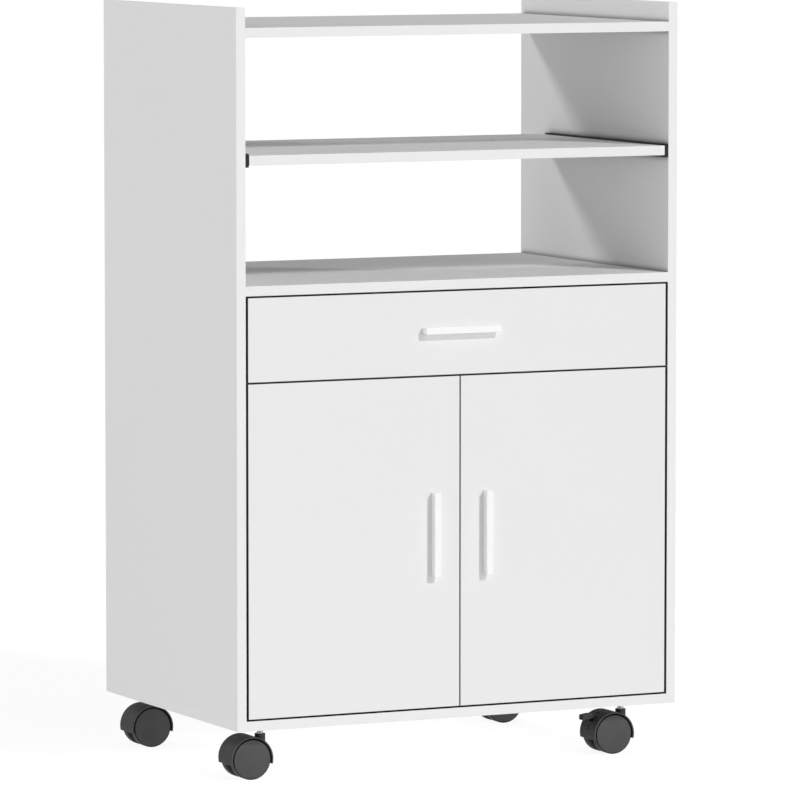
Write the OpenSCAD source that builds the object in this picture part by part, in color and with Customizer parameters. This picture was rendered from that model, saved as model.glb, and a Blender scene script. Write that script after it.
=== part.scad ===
// Microwave cart: white board cabinet on four twin-wheel casters, with a top
// tray, a pull-out shelf, a worktop, one drawer and a cupboard with two doors.
// X is to the right, Y to the back, Z up. The origin is on the floor, in the
// middle of the cart's box.

/* [Cabinet] */
// Width over the two sides
body_w = 600; // [540:5:700]
// Depth of the sides and of the bottom panel
body_d = 405; // [395:5:450]
// Thickness of every board
board_t = 12; // [12:0.5:15]
// Height of the sides above the top shelf
tray_lip = 24; // [10:1:60]
// Clear height between the pull-out shelf and the top shelf
top_bay_h = 141.5; // [100:0.5:400]
// Clear height between the worktop and the pull-out shelf
work_bay_h = 145.5; // [100:0.5:400]
// How far the top shelf stops short of the rear edges of the sides
top_shelf_back = 7; // [0:1:40]

/* [Fronts] */
// Height of the doors
door_h = 407.5; // [340:0.5:480]
// Height of the drawer front
drawer_h = 102; // [98:1:140]
// Gap above and below the drawer front and the doors
front_gap = 2.3; // [1.5:0.1:4]
// Gap between a door and the side
side_gap = 3.2; // [2.8:0.1:4.5]
// Gap between the two doors
door_gap = 1.8; // [1.2:0.1:4]

/* [Handles] */
// Length of a handle
handle_l = 103; // [90:1:160]
// Width of a handle's cap
handle_w = 8.7; // [7:0.1:14]
// How far a handle stands out
handle_out = 12; // [10:0.5:25]
// Thickness of a handle's cap
handle_cap_t = 3.6; // [2.5:0.1:5]
// How far the neck is narrower than the cap on each side
handle_step = 0.9; // [0.4:0.1:2]
// Distance between the two screws of a handle
handle_screw_pitch = 64; // [48:1:80]
// Height of the drawer handle above the lower edge of the drawer front
drawer_handle_z = 55; // [40:1:80]
// Height of the middle of a door handle above the door's lower edge
door_handle_z = 214; // [120:1:300]
// Distance of a door handle from the middle of the cart
door_handle_x = 35.5; // [20:0.5:60]
// Thread of a handle screw
handle_screw_d = 4; // [3:0.5:5]

/* [Pull-out shelf] */
// Depth of the pull-out shelf
pullout_d = 338; // [250:1:380]
// How far the rails stop short of the shelf's rear edge
rail_rear_short = 17; // [0:1:40]
// Length of the rails' flanges that is cut away at the front
rail_lead = 10; // [0:1:20]
// Thickness of the web of a rail
rail_web_t = 4.5; // [2.5:0.1:5]
// Thickness of the lower flange of a rail
rail_floor_t = 2; // [1.5:0.1:4]
// Thickness of the upper flange of a rail
rail_roof_t = 1.6; // [1.2:0.1:4]
// How far a rail stands out from the side
rail_reach = 8; // [7.2:0.1:12]
// Gap between the end of the shelf and the web of a rail
rail_end_gap = 0.6; // [0.5:0.1:2.2]
// Gap between the shelf and the upper flange
rail_roof_gap = 0.4; // [0.3:0.1:1.5]
// Gap between the shelf and the lower flange
rail_floor_gap = 0.3; // [0.2:0.05:0.6]

/* [Drawer] */
// Space between the drawer and the back panel
drawer_rear_gap = 39; // [20:1:90]
// Height of the drawer's sides
drawer_side_h = 80; // [60:1:80]
// Space between the drawer's lower edge and the divider
drawer_lift = 4; // [3.6:0.1:5]
// Thickness of the drawer bottom
drawer_bottom_t = 3; // [2.5:0.5:6]
// Height of the drawer bottom above the lower edge of the sides
drawer_bottom_up = 8; // [6:0.5:14]
// Depth of the grooves that hold the drawer bottom
groove_d = 4; // [2.5:0.5:6]
// Space for a runner between the drawer and the side
runner_gap = 12.7; // [12.7:0.1:14]
// Thickness of the runners' sheet steel
runner_t = 1.2; // [1:0.1:1.4]
// Height of the runner that is fixed to the side
runner_h = 28; // [26:0.5:34]
// Space between the runners and the back panel
runner_rear_gap = 35; // [15:1:85]
// Diameter of a runner's roller
roller_d = 14; // [13:0.1:14.4]
// Width of a runner's roller
roller_w = 6; // [4:0.5:6.5]
// Diameter of a roller's rivet
rivet_d = 4; // [3:0.5:5]

/* [Cupboard] */
// Height of the inner shelf above the bottom panel
inner_shelf_z = 205; // [160:1:300]
// How far the inner shelf lies behind the front plane
inner_shelf_front = 75; // [70:1:150]
// Diameter of a shelf pin
shelf_pin_d = 5; // [4:0.5:7]
// Distance between the rows of shelf pin holes
shelf_hole_pitch = 32; // [25:1:40]
// Thickness of the back panel
back_t = 3; // [2.5:0.5:6]
// Width of the rebate that holds the back panel
rebate_w = 6; // [4:0.5:8]
// How far the back panel lies inside the sides' rear edges
back_inset = 1; // [0.9:0.1:3]

/* [Hinges] */
// Diameter of a hinge cup
cup_d = 26; // [24:0.5:28]
// Depth of a hinge cup
cup_depth = 9; // [8.5:0.1:9.5]
// Wall of a hinge cup
cup_wall = 0.6; // [0.4:0.1:0.8]
// Distance of the cup from the door's edge
cup_edge = 4; // [3.5:0.1:4.5]
// Distance of the hinge pin from the door's edge
pin_edge = 8.5; // [8:0.1:9]
// Diameter of the hinge pin
pin_d = 2.5; // [2:0.1:2.6]
// Height of the hinges above and below the door's ends
hinge_end = 70; // [50:1:100]
// Thickness of the hinge arm
arm_t = 1.6; // [1.2:0.1:1.8]
// Width of the hinge arm
arm_w = 8; // [6:0.5:8.5]

/* [Casters] */
// Diameter of a wheel
wheel_d = 50; // [46:0.5:60]
// Width of a wheel
wheel_w = 13.5; // [11:0.5:18]
// Space between the two wheels of a caster
wheel_gap = 12; // [11.5:0.1:14]
// Distance of the axle behind the stem
trail = 19; // [17:0.5:24]
// Wall of the hood
hood_wall = 1.8; // [1.4:0.1:2.4]
// Gap between the hood and the wheel
hood_gap = 1.1; // [0.8:0.1:2]
// How far the hood reaches below the axle
hood_skirt = 6.4; // [2:0.1:8]
// Diameter of the hood's neck
neck_d = 13; // [12.5:0.1:18]
// Bare length of the stem between the cabinet and the neck
stem_bare = 10.5; // [4:0.5:16]
// Height of the neck above the axle
neck_h = 29; // [28.5:0.5:40]
// Thread of the stem
stem_d = 8; // [6:0.5:8]
// Diameter of the axle
axle_d = 5; // [4:0.5:6]
// Distance of the stems from the outer faces of the sides
stem_side = 51.5; // [50:0.5:80]
// Distance of the front stems from the front plane
stem_front = 48; // [40:0.5:80]
// Distance of the rear stems from the rear edges
stem_rear = 53; // [40:0.5:80]
// How far a brake pedal stands out behind the axle
pedal_reach = 40; // [36:0.5:46]

/* [Fasteners] */
// Diameter of a cam lock
cam_d = 15; // [12:0.5:18]
// Height of a cam lock
cam_h = 9; // [8.5:0.1:9.5]
// Distance of a cam lock from the end of its board
cam_end = 24; // [20:0.5:34]
// Distance of the cam locks from the front and rear edges
cam_edge = 50; // [35:1:90]
// Thread of a cam lock's bolt
cam_bolt_d = 6; // [5:0.5:7]
// Diameter of the screws in the sides
side_screw_d = 3.5; // [3:0.5:4]
// Diameter of the screws that hold the sides on the bottom panel
base_screw_d = 4.5; // [4:0.5:5]
// Length of the screws that hold the sides on the bottom panel
base_screw_l = 40; // [30:1:50]
// Diameter of a back panel nail
nail_d = 1.8; // [1.4:0.1:2]
// Number of nails in each row across the back panel
nail_count = 5; // [3:1:9]

/* [Hidden] */

$fn = 48;

white = [0.93, 0.93, 0.925];
handle_white = [0.97, 0.97, 0.97];
rail_black = [0.10, 0.10, 0.105];
steel = [0.72, 0.73, 0.74];
hardboard = [0.86, 0.86, 0.85];
hood_grey = [0.16, 0.16, 0.165];
wheel_grey = [0.27, 0.27, 0.275];
nylon = [0.85, 0.85, 0.83];

// Radial clearance of a pin or shaft in its hole
play = 0.05;
// Clearance between pieces that pass each other or are seated loosely
slack = 0.3;
// Clearance between pieces that rest on each other
seat_gap = 0.1;
// Extra length of a cutting shape past the face it opens
over = 1;

// Places across the cart
in_x = body_w / 2 - board_t;
door_x = in_x - side_gap;
// Places in depth
front_y = (handle_out - body_d) / 2;
rear_y = front_y + body_d;
back_face_y = rear_y - back_inset - back_t;
front_back_y = front_y + board_t;
// The divider lies behind the arc of the doors' hinge-side corners
corner_r = norm([pin_edge, board_t / 2]);
divider_front_y = front_y + board_t / 2 + corner_r + 2 * slack;
drawer_end_y = back_face_y - drawer_rear_gap;
// Heights
wheel_r = wheel_d / 2;
axle_drop = neck_h + stem_bare;
base_z = wheel_r + axle_drop;
floor_z = base_z + board_t;
door_z = floor_z + front_gap;
drawer_z = door_z + door_h + front_gap;
work_z = drawer_z + drawer_h + front_gap;
pullout_z = work_z + board_t + work_bay_h;
top_z = pullout_z + board_t + top_bay_h;
side_top_z = top_z + board_t + tray_lip;
divider_z = drawer_z - front_gap / 2 - board_t / 2;
shelf_z = floor_z + inner_shelf_z;
back_cover = 2;
back_top_z = work_z + board_t / 2 + back_cover;

// Boards that are fixed between the sides: underside, front edge, rear edge
fixed_boards = [
    [top_z, front_y, rear_y - top_shelf_back],
    [work_z, front_y, back_face_y],
    [divider_z, divider_front_y, back_face_y]
];
cam_bolt_in = 9;
cam_bolt_head_d = 6.6;
cam_bolt_neck_d = 4;
cam_bolt_hole_d = 7.4;

// Box between low and high coordinates, given as pairs
module box(x, y, z) {
    translate([x[0], y[0], z[0]])
        cube([x[1] - x[0], y[1] - y[0], z[1] - z[0]]);
}

// The same shape on both sides of the cart
module both_sides() {
    children();
    mirror([1, 0, 0]) children();
}

// Profile drawn across the cart and up, run from front to back
module along_y(y0, y1) {
    translate([0, y1, 0]) rotate([90, 0, 0]) linear_extrude(y1 - y0) children();
}

// Profile drawn with the distance from the right side's inner face
module from_right_side() {
    translate([in_x, 0, 0]) mirror([1, 0, 0]) children();
}

// Round bar from a point towards +X, +Y or +Z
module rod_x(d, l) {
    rotate([0, 90, 0]) cylinder(d = d, h = l);
}
module rod_y(d, l) {
    rotate([-90, 0, 0]) cylinder(d = d, h = l);
}

// ---------- Sides and fixed boards ----------

// Places of the cam locks along a board's end
function cam_ys(board) = [board[1] + cam_edge, board[2] - cam_edge];

// Screws in the right side's inner face: depth, height, distance of the head's seat
rail_mid_z = pullout_z + board_t / 2;
rail_l = pullout_d - rail_rear_short;
rail_screw_end = 30;
rail_screw_ys = [for (k = [0, 0.5, 1]) front_y + rail_screw_end + k * (rail_l - 2 * rail_screw_end)];
head_h = 1.6;
runner_head_h = 1;
runner_lift = 0.8;
runner_front_gap = 4;
runner_screw_end = 50;
runner_z = divider_z + board_t + runner_lift;
runner_front_y = front_back_y + runner_front_gap;
runner_rear_y = back_face_y - runner_rear_gap;
runner_screw_ys = [runner_front_y + runner_screw_end, runner_rear_y - runner_screw_end];
plate_t = 2.5;
plate_front = 25;
plate_l = 36;
plate_screw_up = 11.5;
hinge_zs = [door_z + hinge_end, door_z + door_h - hinge_end];
plate_screw_y = front_y + plate_front + plate_l / 2;
side_screws = concat(
    [for (y = rail_screw_ys) [y, rail_mid_z, rail_web_t - head_h, head_h]],
    [for (y = runner_screw_ys) [y, runner_z + runner_h / 2, runner_t, runner_head_h]],
    [for (z = hinge_zs, k = [-1, 1]) [plate_screw_y, z + k * plate_screw_up, plate_t, head_h]]
);
side_screw_in = 9;
side_head_d = 6;

pin_rows = [-2, -1, 0, 1, 2];
shelf_pin_in = 8;
shelf_pin_out = 9;
pin_axis_z = shelf_z - shelf_pin_d / 2 - seat_gap;
shelf_pin_end = 40;
shelf_pin_ys = [front_y + inner_shelf_front + shelf_pin_end, back_face_y - shelf_pin_end];

base_screw_end = 35;
base_screw_ys = [for (k = [0, 0.5, 1]) front_y + base_screw_end + k * (body_d - 2 * base_screw_end)];
base_screw_x = body_w / 2 - board_t / 2;
base_head_h = 2.4;
base_head_d = 8;

nail_l = 14;
nail_head_d = 4.4;
nail_head_h = 0.7;
nail_end = 30;
nail_drop = 1;
side_nails = 4;
board_nail_xs = [for (k = [0:nail_count - 1]) (k / (nail_count - 1) - 0.5) * 2 * (in_x - nail_end)];
board_nail_zs = [work_z + board_t / 2 - nail_drop, divider_z + board_t / 2];
side_nail_pitch = (back_top_z - floor_z - 2 * nail_end) / (side_nails - 1);
side_nail_zs = [for (k = [0:side_nails - 1]) floor_z + nail_end + k * side_nail_pitch];
side_nail_x = in_x + rebate_w / 2;

module side_board() {
    color(white) difference() {
        box([in_x, in_x + board_t], [front_y, rear_y], [floor_z, side_top_z]);
        box([in_x - over, in_x + rebate_w], [back_face_y, rear_y + over],
            [floor_z - over, back_top_z + slack]);
        for (b = fixed_boards, y = cam_ys(b))
            translate([in_x - over, y, b[0] + board_t / 2])
                rod_x(cam_bolt_d + 2 * play, cam_bolt_in + over);
        for (s = side_screws)
            translate([in_x - over, s[0], s[1]])
                rod_x(side_screw_d + 2 * play, side_screw_in + over);
        for (k = pin_rows, y = shelf_pin_ys)
            translate([in_x - over, y, pin_axis_z + k * shelf_hole_pitch])
                rod_x(shelf_pin_d + 2 * play, shelf_pin_in + slack + over);
        for (y = base_screw_ys)
            translate([base_screw_x, y, floor_z - over])
                cylinder(d = base_screw_d + 2 * play, h = base_screw_l - board_t + over + slack);
        for (z = side_nail_zs)
            translate([side_nail_x, back_face_y + over, z]) mirror([0, 1, 0])
                rod_y(nail_d + 2 * play, nail_l - back_t + over + slack);
    }
}
module right_side_panel() {
    side_board();
}
module left_side_panel() {
    mirror([1, 0, 0]) side_board();
}

// Corner places of the four casters' stems
stem_xs = [stem_side - body_w / 2, body_w / 2 - stem_side];
stem_ys = [front_y + stem_front, rear_y - stem_rear];
nut_barrel_d = 10;
nut_flange_d = 20;
nut_flange_t = 1.2;

module bottom_panel() {
    color(white) difference() {
        box([-body_w / 2, body_w / 2], [front_y, rear_y], [base_z, floor_z]);
        for (x = stem_xs, y = stem_ys)
            translate([x, y, base_z - over])
                cylinder(d = nut_barrel_d + 2 * play, h = board_t + 2 * over);
        both_sides() for (y = base_screw_ys) translate([base_screw_x, y, base_z - over]) {
            cylinder(d = base_screw_d + 2 * play, h = board_t + 2 * over);
            cylinder(d = base_head_d + 2 * play, h = base_head_h + over);
        }
    }
}

// Board between the sides, with its cam lock holes
module fixed_board(b) {
    color(white) difference() {
        box([-in_x, in_x], [b[1], b[2]], [b[0], b[0] + board_t]);
        both_sides() for (y = cam_ys(b)) {
            translate([in_x - cam_end, y, b[0] - over])
                cylinder(d = cam_d + 2 * play, h = cam_h + slack + over);
            translate([in_x - cam_end, y, b[0] + board_t / 2])
                rod_x(cam_bolt_hole_d, cam_end + over);
        }
        children();
    }
}
// Nail holes in a board's rear edge
module edge_nail_holes(z) {
    for (x = board_nail_xs)
        translate([x, back_face_y + over, z]) mirror([0, 1, 0])
            rod_y(nail_d + 2 * play, nail_l - back_t + over + slack);
}
module top_shelf() {
    fixed_board(fixed_boards[0]);
}
module worktop() {
    fixed_board(fixed_boards[1]) edge_nail_holes(board_nail_zs[0]);
}
module divider_panel() {
    fixed_board(fixed_boards[2]) edge_nail_holes(board_nail_zs[1]);
}

module back_panel() {
    edge_x = in_x + rebate_w - slack;
    color(hardboard) difference() {
        box([-edge_x, edge_x], [back_face_y, back_face_y + back_t], [floor_z, back_top_z]);
        for (x = board_nail_xs, z = board_nail_zs)
            translate([x, back_face_y - over, z]) rod_y(nail_d + 2 * play, back_t + 2 * over);
        both_sides() for (z = side_nail_zs)
            translate([side_nail_x, back_face_y - over, z])
                rod_y(nail_d + 2 * play, back_t + 2 * over);
    }
}
module nail() {
    mirror([0, 1, 0]) rod_y(nail_d, nail_l);
    rod_y(nail_head_d, nail_head_h);
}
module back_panel_nails() {
    color(steel) {
        for (x = board_nail_xs, z = board_nail_zs)
            translate([x, back_face_y + back_t, z]) nail();
        both_sides() for (z = side_nail_zs)
            translate([side_nail_x, back_face_y + back_t, z]) nail();
    }
}

// ---------- Fasteners ----------

// Cam lock: a drum with a pocket for the bolt's head and a cross slot below
module cam_lock() {
    slot_w = 2;
    slot_l = 8;
    slot_d = 2;
    difference() {
        cylinder(d = cam_d, h = cam_h);
        translate([0, 0, board_t / 2]) rod_x(cam_bolt_hole_d, cam_d);
        translate([0, 0, slot_d / 2 - over / 2]) {
            cube([slot_l, slot_w, slot_d + over], center = true);
            cube([slot_w, slot_l, slot_d + over], center = true);
        }
    }
}
module cam_locks() {
    color(steel) both_sides() for (b = fixed_boards, y = cam_ys(b))
        translate([in_x - cam_end, y, b[0]]) cam_lock();
}
// Bolt from the side into a cam lock: thread, collar, neck and head
module cam_bolt() {
    collar_l = 2;
    head_l = 2.6;
    neck_end = cam_end - 2;
    translate([-neck_end, 0, 0]) rod_x(cam_bolt_neck_d, neck_end);
    translate([-neck_end, 0, 0]) rod_x(cam_bolt_head_d, head_l);
    translate([-collar_l, 0, 0]) rod_x(cam_bolt_head_d, collar_l);
    rod_x(cam_bolt_d, cam_bolt_in - slack);
}
module cam_bolts() {
    color(steel) both_sides() for (b = fixed_boards, y = cam_ys(b))
        translate([in_x, y, b[0] + board_t / 2]) cam_bolt();
}

// Screw in a side's inner face, with a cross slot in its flat head
module side_screw(seat, height) {
    slot_w = 0.9;
    slot_l = 4;
    difference() {
        union() {
            translate([-seat, 0, 0]) rod_x(side_screw_d, side_screw_in + seat - slack);
            translate([-seat - height, 0, 0]) rod_x(side_head_d, height);
        }
        translate([-seat - height, 0, 0]) {
            cube([height, slot_w, slot_l], center = true);
            cube([height, slot_l, slot_w], center = true);
        }
    }
}
module panel_screws() {
    color(steel) both_sides() for (s = side_screws)
        translate([in_x, s[0], s[1]]) side_screw(s[2], s[3]);
}

module base_screws() {
    slot_w = 1.2;
    slot_l = 5;
    color(steel) both_sides() for (y = base_screw_ys)
        translate([base_screw_x, y, base_z]) difference() {
            union() {
                cylinder(d = base_screw_d, h = base_screw_l);
                cylinder(d = base_head_d, h = base_head_h);
            }
            cube([slot_l, slot_w, base_head_h], center = true);
            cube([slot_w, slot_l, base_head_h], center = true);
        }
}

// ---------- Cupboard shelf ----------

shelf_end_gap = 1;
shelf_rear_gap = 4;
shelf_collar_t = 1;
shelf_collar_over = 1.5;
shelf_collar_d = shelf_pin_d + 2 * shelf_collar_over;

module inner_shelf() {
    half_w = in_x - shelf_end_gap;
    color(white) box([-half_w, half_w], [front_y + inner_shelf_front, back_face_y - shelf_rear_gap],
                     [shelf_z, shelf_z + board_t]);
}
module shelf_pins() {
    color(steel) both_sides() for (y = shelf_pin_ys)
        translate([in_x - shelf_pin_out, y, pin_axis_z]) {
            rod_x(shelf_pin_d, shelf_pin_out + shelf_pin_in);
            // Collar near the side, cut off flat under the shelf
            intersection() {
                translate([shelf_pin_out - slack - shelf_collar_t, 0, 0])
                    rod_x(shelf_collar_d, shelf_collar_t);
                box([0, shelf_pin_out], [-shelf_collar_d, shelf_collar_d],
                    [-shelf_collar_d, shelf_pin_d / 2]);
            }
        }
}

// ---------- Pull-out shelf ----------

rail_z0 = pullout_z - rail_floor_gap - rail_floor_t;
rail_z1 = pullout_z + board_t + rail_roof_gap + rail_roof_t;

// Channel: web, floor and roof. Both flanges begin a little behind the web's front end.
module right_rail() {
    difference() {
        from_right_side() along_y(front_y, front_y + rail_l) difference() {
            translate([0, rail_z0]) square([rail_reach, rail_z1 - rail_z0]);
            translate([rail_web_t, rail_z0 + rail_floor_t])
                square([rail_reach, rail_z1 - rail_z0 - rail_floor_t - rail_roof_t]);
        }
        box([in_x - rail_reach - over, in_x - rail_web_t], [front_y - over, front_y + rail_lead],
            [rail_z0 - over, rail_z1 + over]);
        for (y = rail_screw_ys) translate([in_x, y, rail_mid_z]) {
            translate([-rail_web_t - over, 0, 0]) rod_x(side_screw_d + 2 * play, rail_web_t + 2 * over);
            translate([-rail_web_t - over, 0, 0]) rod_x(side_head_d + 2 * play, head_h + over);
        }
    }
}
module right_shelf_rail() {
    color(rail_black) right_rail();
}
module left_shelf_rail() {
    color(rail_black) mirror([1, 0, 0]) right_rail();
}
module sliding_shelf() {
    half_w = in_x - rail_web_t - rail_end_gap;
    color(white) box([-half_w, half_w], [front_y, front_y + pullout_d], [pullout_z, pullout_z + board_t]);
}

// ---------- Drawer ----------

drawer_x = in_x - runner_gap;
box_z = divider_z + board_t + drawer_lift;
bottom_z = box_z + drawer_bottom_up;
groove_h = drawer_bottom_t + 2 * seat_gap;

// Space that the grooves leave for the drawer bottom
module groove_space() {
    box([-drawer_x + board_t - groove_d, drawer_x - board_t + groove_d],
        [front_back_y - groove_d, drawer_end_y - board_t + groove_d],
        [bottom_z - seat_gap, bottom_z - seat_gap + groove_h]);
}
module drawer_front() {
    color(white) difference() {
        box([-door_x, door_x], [front_y, front_back_y], [drawer_z, drawer_z + drawer_h]);
        groove_space();
        translate([0, 0, drawer_z + drawer_handle_z]) handle_screw_holes();
    }
}
module drawer_side() {
    color(white) difference() {
        box([drawer_x - board_t, drawer_x], [front_back_y, drawer_end_y], [box_z, box_z + drawer_side_h]);
        groove_space();
    }
}
module drawer_right_side() {
    drawer_side();
}
module drawer_left_side() {
    mirror([1, 0, 0]) drawer_side();
}
module drawer_back() {
    half_w = drawer_x - board_t;
    color(white) difference() {
        box([-half_w, half_w], [drawer_end_y - board_t, drawer_end_y], [box_z, box_z + drawer_side_h]);
        groove_space();
    }
}
module drawer_bottom() {
    tongue = groove_d - 2 * seat_gap;
    half_w = drawer_x - board_t + tongue;
    color(hardboard) box([-half_w, half_w], [front_back_y - tongue, drawer_end_y - board_t + tongue],
                         [bottom_z, bottom_z + drawer_bottom_t]);
}

// Rollers of the runners, by their distance from the side
roller_s = 3.5;
roller_r = roller_d / 2;
drawer_roller_z = runner_z + runner_t + slack + roller_r;
flange_z = drawer_roller_z + roller_r + 2 * slack;
cabinet_roller_z = flange_z - slack - roller_r;
cabinet_roller_front = 10;
drawer_roller_rear = 20;
cabinet_roller_y = runner_front_y + cabinet_roller_front;
drawer_roller_y = drawer_end_y - drawer_roller_rear;
rivet_head_d = 6;
rivet_head_t = 0.6;
roller_play = 0.2;
roller_end_s = roller_s + roller_w + roller_play;
web_s = runner_gap - runner_t;
runner_lip = 4;
runner_floor_gap = 2;
flange_gap = 3.2;
runner_foot = 8;

// Runner on the side: a channel with a short upper lip, and the front roller's rivet
module right_fixed_runner() {
    floor_s = runner_gap - runner_floor_gap;
    difference() {
        from_right_side() {
            along_y(runner_front_y, runner_rear_y) translate([0, runner_z]) polygon([
                [0, 0], [floor_s, 0], [floor_s, runner_t], [runner_t, runner_t],
                [runner_t, runner_h - runner_t], [runner_lip, runner_h - runner_t],
                [runner_lip, runner_h], [0, runner_h]
            ]);
            translate([runner_t, cabinet_roller_y, cabinet_roller_z]) {
                rod_x(rivet_d, roller_end_s - runner_t);
                rod_x(rivet_head_d, roller_s - roller_play - runner_t);
            }
            translate([roller_end_s, cabinet_roller_y, cabinet_roller_z]) rod_x(rivet_head_d, rivet_head_t);
        }
        for (y = runner_screw_ys)
            translate([in_x - runner_t - over, y, runner_z + runner_h / 2])
                rod_x(side_screw_d + 2 * play, runner_t + 2 * over);
    }
}
module right_cabinet_runner() {
    color(white) right_fixed_runner();
}
module left_cabinet_runner() {
    color(white) mirror([1, 0, 0]) right_fixed_runner();
}
// Runner on the drawer: a flange that rides on the front roller, a web on the
// drawer's side, a foot under it, and the rear roller's rivet
module right_moving_runner() {
    foot_s = runner_gap + runner_foot;
    rivet_s = roller_s - roller_play;
    from_right_side() {
        along_y(front_back_y + slack, drawer_end_y) polygon([
            [flange_gap, flange_z], [web_s, flange_z], [web_s, box_z - runner_t],
            [foot_s, box_z - runner_t], [foot_s, box_z], [runner_gap, box_z],
            [runner_gap, flange_z + runner_t], [flange_gap, flange_z + runner_t]
        ]);
        translate([rivet_s, drawer_roller_y, drawer_roller_z]) rod_x(rivet_d, web_s - rivet_s);
        translate([rivet_s - rivet_head_t, drawer_roller_y, drawer_roller_z])
            rod_x(rivet_head_d, rivet_head_t);
        translate([roller_end_s, drawer_roller_y, drawer_roller_z])
            rod_x(rivet_head_d, web_s - roller_end_s);
    }
}
module right_drawer_runner() {
    color(white) right_moving_runner();
}
module left_drawer_runner() {
    color(white) mirror([1, 0, 0]) right_moving_runner();
}
// Roller with a shallow ring groove in each face
module roller() {
    rim_t = 1.5;
    hub_t = 1.7;
    ring_depth = 0.8;
    difference() {
        rod_x(roller_d, roller_w);
        translate([-over, 0, 0]) rod_x(rivet_d + 2 * play, roller_w + 2 * over);
        for (x = [-over, roller_w - ring_depth]) translate([x, 0, 0]) difference() {
            rod_x(roller_d - 2 * rim_t, ring_depth + over);
            translate([-over, 0, 0]) rod_x(rivet_d + 2 * hub_t, ring_depth + 3 * over);
        }
    }
}
module cabinet_runner_rollers() {
    color(nylon) both_sides() from_right_side()
        translate([roller_s, cabinet_roller_y, cabinet_roller_z]) roller();
}
module drawer_runner_rollers() {
    color(nylon) both_sides() from_right_side()
        translate([roller_s, drawer_roller_y, drawer_roller_z]) roller();
}

// ---------- Handles ----------

handle_screw_head_d = 7;
handle_screw_head_h = 2.2;
handle_screw_in = 7;

// Screw holes through a front, for a handle that lies along X
module handle_screw_holes() {
    for (k = [-0.5, 0.5])
        translate([k * handle_screw_pitch, front_y - over, 0])
            rod_y(handle_screw_d + 2 * play, board_t + 2 * over);
}
// Bar handle along X: a cap on a slightly narrower neck, with small bevels
module bar_handle() {
    half = handle_w / 2;
    bevel = 0.5;
    neck = half - handle_step;
    cap_back = handle_cap_t - handle_out;
    color(handle_white) difference() {
        translate([-handle_l / 2, front_y, 0]) rotate([90, 0, 90]) linear_extrude(handle_l) polygon([
            [0, -neck], [cap_back, -neck], [cap_back, -half],
            [bevel - handle_out, -half], [-handle_out, bevel - half],
            [-handle_out, half - bevel], [bevel - handle_out, half],
            [cap_back, half], [cap_back, neck], [0, neck]
        ]);
        for (k = [-0.5, 0.5])
            translate([k * handle_screw_pitch, front_y - handle_screw_in - slack, 0])
                rod_y(handle_screw_d + 2 * play, handle_screw_in + slack + over);
    }
}
module handle_screws() {
    slot_w = 1;
    slot_l = 4.5;
    color(steel) for (k = [-0.5, 0.5])
        translate([k * handle_screw_pitch, front_y - handle_screw_in, 0]) difference() {
            union() {
                rod_y(handle_screw_d, handle_screw_in + board_t);
                translate([0, handle_screw_in + board_t, 0])
                    rod_y(handle_screw_head_d, handle_screw_head_h);
            }
            translate([0, handle_screw_in + board_t + handle_screw_head_h, 0]) {
                cube([slot_w, handle_screw_head_h, slot_l], center = true);
                cube([slot_l, handle_screw_head_h, slot_w], center = true);
            }
        }
}
module at_drawer_handle() {
    translate([0, 0, drawer_z + drawer_handle_z]) children();
}
module at_door_handle() {
    translate([door_handle_x, 0, door_z + door_handle_z]) rotate([0, 90, 0]) children();
}
module drawer_handle() {
    at_drawer_handle() bar_handle();
}
module drawer_handle_screws() {
    at_drawer_handle() handle_screws();
}

// ---------- Doors and hinges ----------

pin_s = side_gap + pin_edge;
pin_y = front_y + board_t / 2;
cup_s = side_gap + cup_edge + cup_d / 2;
knuckle_r = 2;

module door_board() {
    color(white) difference() {
        box([door_gap / 2, door_x], [front_y, front_back_y], [door_z, door_z + door_h]);
        for (z = hinge_zs) translate([in_x - cup_s, front_back_y - cup_depth, z])
            rod_y(cup_d + 2 * play, cup_depth + over);
        at_door_handle() handle_screw_holes();
    }
}
module right_door() {
    door_board();
}
module left_door() {
    mirror([1, 0, 0]) door_board();
}
module right_door_handle() {
    at_door_handle() bar_handle();
}
module left_door_handle() {
    mirror([1, 0, 0]) at_door_handle() bar_handle();
}
module right_door_screws() {
    at_door_handle() handle_screws();
}
module left_door_screws() {
    mirror([1, 0, 0]) at_door_handle() handle_screws();
}

// Hinge cup in a right door: thin cup, oval flange on the door's rear face,
// two cheeks and the hinge pin across them. Drawn by the distance from the side.
module hinge_cup() {
    flange_t = 0.8;
    flange_w = 20;
    flange_h = 46;
    inner_d = cup_d - 2 * cup_wall;
    cheek_t = 1.3;
    cheek_half = arm_w / 2 + slack;
    cheek_w = 4;
    cheek_over = 1.6;
    cup_bottom_y = front_back_y - cup_depth;
    cheek_y = cup_bottom_y + cup_wall / 2;
    difference() {
        union() {
            translate([cup_s, cup_bottom_y, 0]) rod_y(cup_d, cup_depth);
            intersection() {
                translate([cup_s, front_back_y, 0]) rod_y(flange_h, flange_t);
                translate([cup_s - flange_w / 2, front_back_y - over, -flange_h / 2])
                    cube([flange_w, flange_t + 2 * over, flange_h]);
            }
            translate([cup_s, front_back_y, 0]) rod_y(cup_d, flange_t);
        }
        translate([cup_s, cup_bottom_y + cup_wall, 0]) rod_y(inner_d, cup_depth + over);
    }
    intersection() {
        translate([cup_s, cup_bottom_y, 0]) rod_y(inner_d + cup_wall, cup_depth);
        union() {
            for (k = [-cheek_half - cheek_t, cheek_half]) translate([pin_s - cheek_w / 2, cheek_y, k])
                cube([cheek_w, pin_y + cheek_over - cheek_y, cheek_t]);
            translate([pin_s, pin_y, -cheek_half - cheek_t / 2])
                cylinder(d = pin_d, h = 2 * cheek_half + cheek_t);
        }
    }
}
module right_cups() {
    color(steel) from_right_side() for (z = hinge_zs) translate([0, 0, z]) hinge_cup();
}
module right_door_hinge_cups() {
    right_cups();
}
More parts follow.
